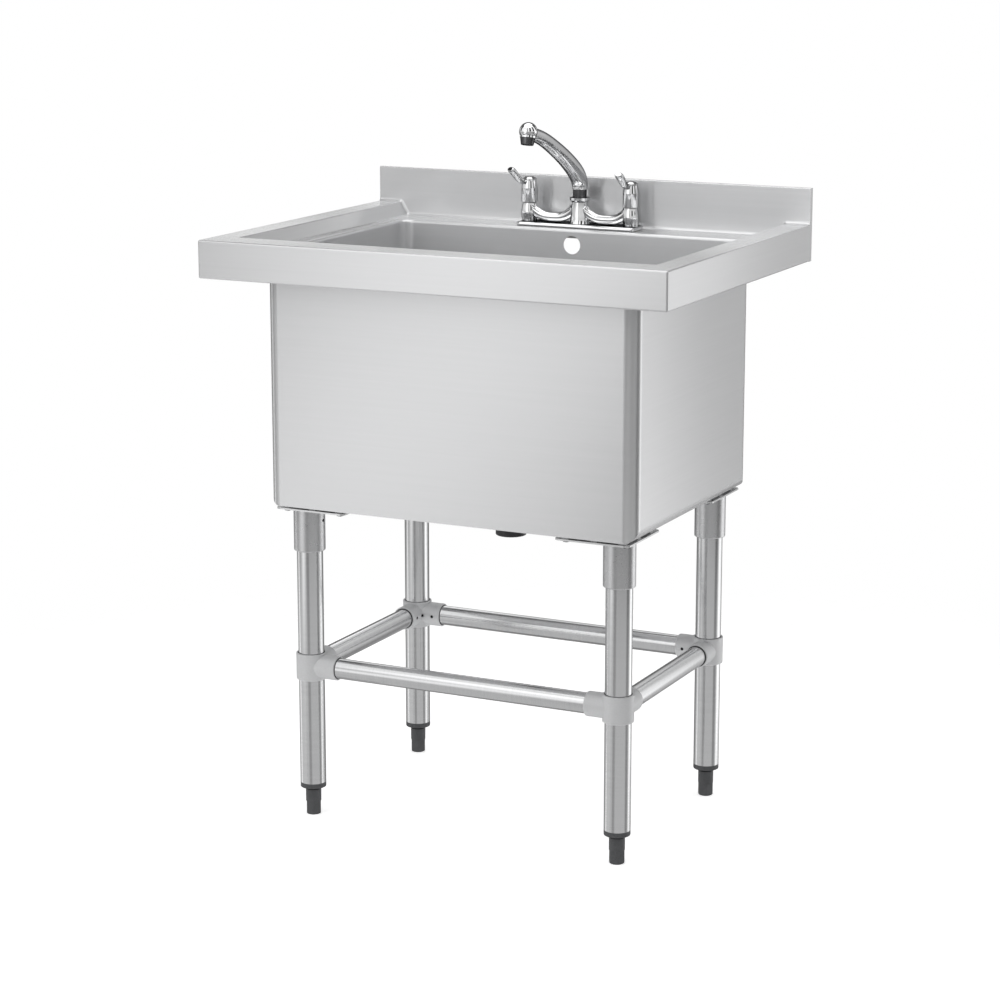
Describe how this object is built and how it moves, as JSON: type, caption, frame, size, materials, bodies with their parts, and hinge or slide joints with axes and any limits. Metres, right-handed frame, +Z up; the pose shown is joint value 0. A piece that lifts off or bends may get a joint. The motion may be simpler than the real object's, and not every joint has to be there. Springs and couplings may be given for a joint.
{
  "type": "deep wash sink on a tubular stand",
  "caption": "Stainless deep wash sink with raised-rim top and upstand, on a tubular stand with rails and screw feet, with a two-lever deck mixer tap and swivel spout.",
  "frame": {"origin": "on the floor, under the middle of the worktop's outline", "axes": "+X to the user's right, +Y to the wall behind, +Z up"},
  "size_m": [0.75, 0.575, 1.0645],
  "materials": {
    "sheet_steel": "brushed stainless sheet",
    "tube_steel": "ground stainless tube",
    "cast_fitting": "matt cast alloy",
    "bright_chrome": "polished chrome plate",
    "dark_chrome": "dark chrome",
    "foot_plastic": "dark grey moulded plastic",
    "waste_plastic": "black moulded plastic",
    "seal_rubber": "black rubber",
    "bare_brass": "machined brass",
    "plated_steel": "plated fasteners"
  },
  "bodies": {
    "stand": {"worktop": "sheet_steel", "bowl_wrapper": "sheet_steel", "bowl_front_panel": "sheet_steel", "bowl_rear_panel": "sheet_steel", "leg_plate_front_left": "sheet_steel", "leg_socket_front_left": "tube_steel", "leg_tube_front_left": "tube_steel", "corner_fitting_front_left": "cast_fitting", "tube_insert_front_left": "foot_plastic", "leg_plate_front_right": "sheet_steel", "leg_socket_front_right": "tube_steel", "leg_tube_front_right": "tube_steel", "corner_fitting_front_right": "cast_fitting", "tube_insert_front_right": "foot_plastic", "leg_plate_rear_left": "sheet_steel", "leg_socket_rear_left": "tube_steel", "leg_tube_rear_left": "tube_steel", "corner_fitting_rear_left": "cast_fitting", "tube_insert_rear_left": "foot_plastic", "leg_plate_rear_right": "sheet_steel", "leg_socket_rear_right": "tube_steel", "leg_tube_rear_right": "tube_steel", "corner_fitting_rear_right": "cast_fitting", "tube_insert_rear_right": "foot_plastic", "rail_front": "tube_steel", "rail_rear": "tube_steel", "rail_left": "tube_steel", "rail_right": "tube_steel", "weld_studs": "plated_steel", "stud_nuts": "plated_steel", "grub_screws": "plated_steel", "waste_strainer": "sheet_steel", "waste_top_gasket": "seal_rubber", "waste_lower_gasket": "seal_rubber", "waste_body": "waste_plastic", "waste_centre_screw": "plated_steel", "tap_gasket": "seal_rubber", "mixer_body": "bright_chrome", "tail_washers": "seal_rubber", "tail_backnuts": "bare_brass", "tap_tail_left": "bare_brass", "valve_body_left": "bare_brass", "tap_tail_right": "bare_brass", "valve_body_right": "bare_brass", "spout_nut": "dark_chrome"},
    "spout_arm": {"spout": "bright_chrome", "spout_ring": "seal_rubber", "aerator": "dark_chrome"},
    "left_lever": {"lever_left": "bright_chrome", "spindle_left": "bare_brass", "lever_screw_left": "plated_steel", "index_cap_left": "bright_chrome"},
    "right_lever": {"lever_right": "bright_chrome", "spindle_right": "bare_brass", "lever_screw_right": "plated_steel", "index_cap_right": "bright_chrome"},
    "front_left_foot": {"foot_front_left": "foot_plastic"},
    "front_right_foot": {"foot_front_right": "foot_plastic"},
    "rear_left_foot": {"foot_rear_left": "foot_plastic"},
    "rear_right_foot": {"foot_rear_right": "foot_plastic"}
  },
  "joints": [
    {"name": "spout_swivel", "type": "hinge", "parent": "stand", "child": "spout_arm", "pos_m": [0, 0.24875, 0.9442], "axis": [0, 0, 1], "range_deg": [-100, 100]},
    {"name": "left_lever_turn", "type": "hinge", "parent": "stand", "child": "left_lever", "pos_m": [-0.088, 0.24875, 0.9192], "axis": [0, 0, 1], "range_deg": [-71, 19]},
    {"name": "right_lever_turn", "type": "hinge", "parent": "stand", "child": "right_lever", "pos_m": [0.088, 0.24875, 0.9192], "axis": [0, 0, 1], "range_deg": [0, 90]},
    {"name": "front_left_foot_screw", "type": "slide", "parent": "stand", "child": "front_left_foot", "axis": [0, 0, 1], "range_m": [-0.022, 0.0006]},
    {"name": "front_right_foot_screw", "type": "slide", "parent": "stand", "child": "front_right_foot", "axis": [0, 0, 1], "range_m": [-0.022, 0.0006]},
    {"name": "rear_left_foot_screw", "type": "slide", "parent": "stand", "child": "rear_left_foot", "axis": [0, 0, 1], "range_m": [-0.022, 0.0006]},
    {"name": "rear_right_foot_screw", "type": "slide", "parent": "stand", "child": "rear_right_foot", "axis": [0, 0, 1], "range_m": [-0.022, 0.0006]}
  ]
}
